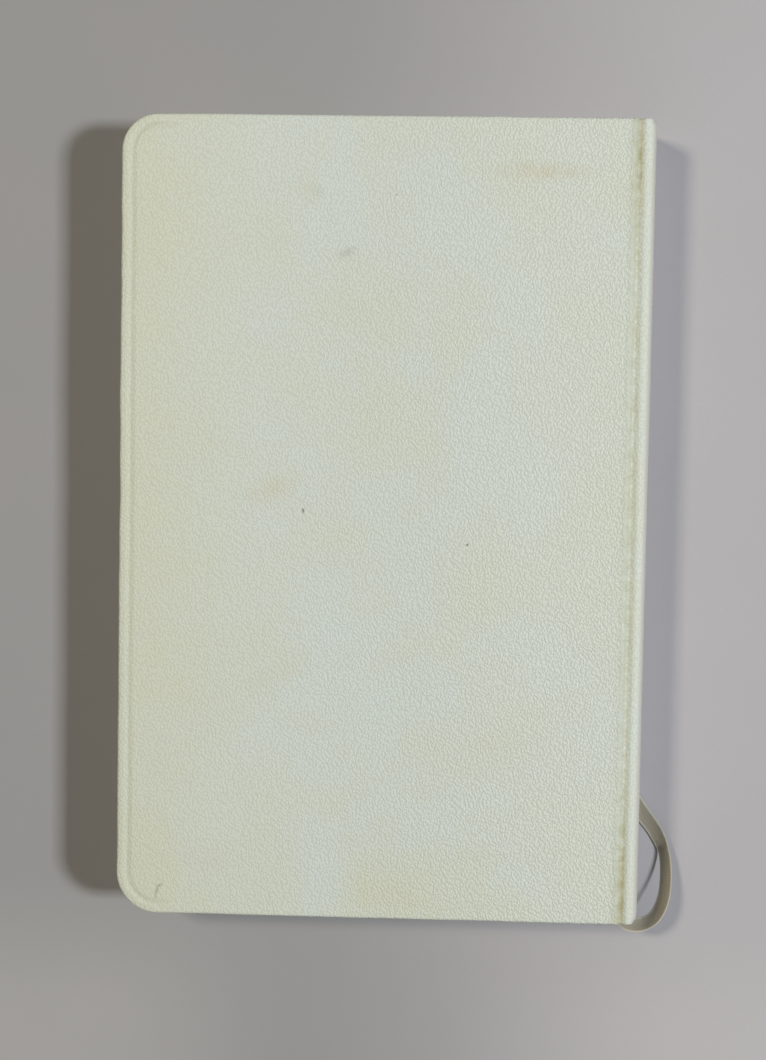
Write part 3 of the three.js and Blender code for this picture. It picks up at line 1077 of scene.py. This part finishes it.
def make_back_layers():
    linen = woven_material("linen_tape", (0.72, 0.68, 0.56), (0.50, 0.45, 0.33), 1.6, 0.05)
    mull = woven_material("mull_cloth", (0.78, 0.76, 0.70), (0.55, 0.52, 0.44), 1.1, 0.06)
    kraft = kraft_material()
    for number in range(1, 4):
        cad = f"sewing_tape_{number}"
        back_layer(f"tape_{number}", cad, TAPE, 0.5, 0.02, linen)
    back_layer("mull", "spine_mull", MULL, 1.0, 0.01, mull)
    back_layer("lining", "spine_lining", LINING, 1.5, 0.01, kraft)


make_back_layers()


# ---- headbands
THREAD_WRAPS = 22


def headband_material():
    material, tree = start_material("headband_thread", 0.5, 0.3)
    uv = node(tree, "ShaderNodeUVMap", uv_map="wraps").outputs[0]
    wrap = axes(tree, uv)[0]
    turn = math_node(tree, "MODULO", math_node(tree, "FLOOR", wrap), 4.0)
    stripe = math_node(tree, "LESS_THAN", turn, 1.5)
    colour = mix(tree, stripe, (0.78, 0.75, 0.62), (0.66, 0.57, 0.36))
    strands = noise_node(tree, stretch(tree, uv, (9.0, 1.5, 1.0)), 1.0, 3.0)
    colour = mix(tree, times(tree, strands, 0.4), colour, (0.45, 0.38, 0.25))
    return finish_material(material, colour, strands, 0.02, 0.6)


def make_headband(cad, material):
    """A cord wound with thread along the top of the folds, one ridge for each turn."""
    low, high = node_box(cad)
    centre_y = (low[1] + high[1]) / 2
    per_wrap, around = 8, 16
    count = THREAD_WRAPS * per_wrap + 1
    share = np.linspace(0, 1, count)
    heights = low[2] + (high[2] - low[2]) * share
    phase = share * THREAD_WRAPS
    ridge = np.abs(np.sin(np.pi * phase))
    radius = 0.40 + 0.09 * np.sqrt(ridge)
    centre_x = back_at(heights, 0.0) - back_at(MIDDLE, 0.0) + high[0] - 0.5
    angle = np.linspace(0, 2 * math.pi, around, endpoint=False)
    slant = 0.10 * np.sin(angle)[None, :]
    points = np.stack([
        centre_x[:, None] + radius[:, None] * np.cos(angle)[None, :],
        centre_y + radius[:, None] * np.sin(angle)[None, :],
        heights[:, None] + slant,
    ], -1)
    faces = tube_faces(count, around, True)
    faces.append(list(range(around))[::-1])
    faces.append([(count - 1) * around + k for k in range(around)])
    made = make_piece(f"{cad}_wound", points, faces, material)
    add_uv(made, "wraps", phase[:, None], angle[None, :])
    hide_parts(cad)
    bend_back(made)


def make_headbands():
    material = headband_material()
    for end in ("head", "tail"):
        make_headband(f"headband_{end}", material)


make_headbands()


# ---- CAD pieces that stay
def board_material():
    material, tree = start_material("grey_board", 0.9, 0.15)
    place = object_place(tree)
    pulp = noise_node(tree, stretch(tree, place, (1.0, 1.0, 6.0)), 1.4, 5.0, 0.65)
    flecks = remap(tree, noise_node(tree, place, 4.0, 1.0), 0.66, 0.74)
    colour = mix(tree, pulp, (0.30, 0.28, 0.24), (0.48, 0.45, 0.39))
    colour = mix(tree, times(tree, flecks, 0.6), colour, (0.14, 0.12, 0.10))
    return finish_material(material, colour, pulp, 0.05, 0.8)


def pastedown_material():
    """Endpaper glued to the board: faint waves, specks, and the turn-in showing through."""
    material, tree = start_material("pastedown_paper", 0.75, 0.25)
    place = object_place(tree)
    mottle = remap(tree, noise_node(tree, place, 0.08, 4.0, 0.6), 0.3, 0.7)
    colour = mix(tree, mottle, ENDPAPER_LIGHT, ENDPAPER_DARK)
    near = near_edges(
        tree, place, FORE_EDGE + 12.0, FORE_EDGE + TURN_IN, HEAD - 11.0, HEAD - TURN_IN
    )
    colour = mix(tree, times(tree, near, 0.5), colour, ENDPAPER_EDGE)
    specks = remap(tree, noise_node(tree, place, 1.7, 1.0), 0.70, 0.76)
    colour = mix(tree, times(tree, specks, 0.4), colour, (0.45, 0.36, 0.22))
    fibres = paper_fibres(tree, place)
    glue = noise_node(tree, place, 0.16, 3.0)
    height = math_node(tree, "MULTIPLY_ADD", glue, 4.0, fibres)
    return finish_material(material, colour, height, 0.03, 0.6)


def repaint_cad():
    for piece, material in (("board", board_material()), ("pastedown", pastedown_material())):
        for side in ("front", "back"):
            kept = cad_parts[f"{side}_{piece}"]
            for place in kept.material_slots:
                place.material = material
            if not kept.material_slots:
                kept.data.materials.append(material)


repaint_cad()


# ---- floor and light
FLOOR_HALF = 4000.0
FLOOR_DROP = 0.05  # keeps the floor just under the lowest leather
FLOOR_POINTS = 9  # along each side
FLOOR_PAINTED_SHADE_SIDE = (0.378, 0.380, 0.392)
FLOOR_PAINTED_LIT_SIDE = (0.556, 0.550, 0.588)
FLOOR_PAINTED_CORNER_LIGHT = (0.80, 0.79, 0.78)
FLOOR_CLOUD = (0.47, 0.44, 0.46)
FLOOR_WEAVE = (0.3, 0.3, 0.3)


def floor_material():
    material, tree = start_material("floor_cloth", 0.9, 0.1)
    place = object_place(tree)
    x, y = axes(tree, place)[:2]
    # Painted light falloff: the floor darkens to the left, away from the key light.
    painted_falloff = remap(tree, x, -25.0, 70.0)
    colour = mix(tree, painted_falloff, FLOOR_PAINTED_SHADE_SIDE, FLOOR_PAINTED_LIT_SIDE)
    clouds = noise_node(tree, place, 0.03, 3.0)
    share = times(tree, remap(tree, clouds, 0.35, 0.65), 0.10)
    colour = mix(tree, share, colour, FLOOR_CLOUD)
    # Painted light: the floor is lighter towards the corners below the book's tail.
    painted_light_foot = remap(tree, y, -66.0, -100.0)
    corner = remap(tree, absolute(tree, x), 8.0, 60.0, 0.0, 0.22)
    colour = mix(tree, times(tree, painted_light_foot, corner), colour, FLOOR_PAINTED_CORNER_LIGHT)
    weave = noise_node(tree, place, 1.6, 4.0, 0.7)
    share = times(tree, weave, 0.14)
    colour = mix(tree, share, colour, FLOOR_WEAVE)
    return finish_material(material, colour, weave, 0.03, 0.5)


def make_floor():
    side = np.linspace(-FLOOR_HALF, FLOOR_HALF, FLOOR_POINTS)
    x, y = np.meshgrid(side, side)
    points = np.stack([x, y, np.full_like(x, -FLOOR_DROP)], -1).reshape(-1, 3) * MM
    mesh = bpy.data.meshes.new("floor")
    mesh.from_pydata(points.tolist(), [], grid_faces(FLOOR_POINTS, FLOOR_POINTS))
    mesh.materials.append(floor_material())
    made = bpy.data.objects.new("floor", mesh)
    bpy.context.collection.objects.link(made)


def area_light(name, azimuth, elevation, distance, size, watts, colour):
    """A soft square light aimed at the book; azimuth 0 is +X, 90 is +Y; lengths are metres."""
    data = bpy.data.lights.new(name, "AREA")
    data.size = size
    data.energy = watts
    data.color = colour
    a, e = math.radians(azimuth), math.radians(elevation)
    away = Vector((math.cos(a) * math.cos(e), math.sin(a) * math.cos(e), math.sin(e)))
    made = bpy.data.objects.new(name, data)
    made.location = away * distance
    made.rotation_euler = away.to_track_quat("Z", "Y").to_euler()
    bpy.context.collection.objects.link(made)


COOL = (0.905, 0.930, 0.950)
WARM = (1.0, 0.903, 0.743)
WORLD_STRENGTH = 0.055


def make_light():
    world = bpy.data.worlds.new("studio")
    world.use_nodes = True
    background = world.node_tree.nodes["Background"]
    background.inputs["Color"].default_value = (*WARM, 1.0)
    background.inputs["Strength"].default_value = WORLD_STRENGTH
    bpy.context.scene.world = world
    area_light("key", azimuth=0.0, elevation=47.0, distance=1.6, size=0.20, watts=17.4, colour=COOL)
    area_light(
        "fill", azimuth=152.0, elevation=57.0, distance=1.0, size=0.16, watts=3.45, colour=WARM
    )
    bpy.context.scene.view_settings.view_transform = "Standard"


make_floor()
make_light()
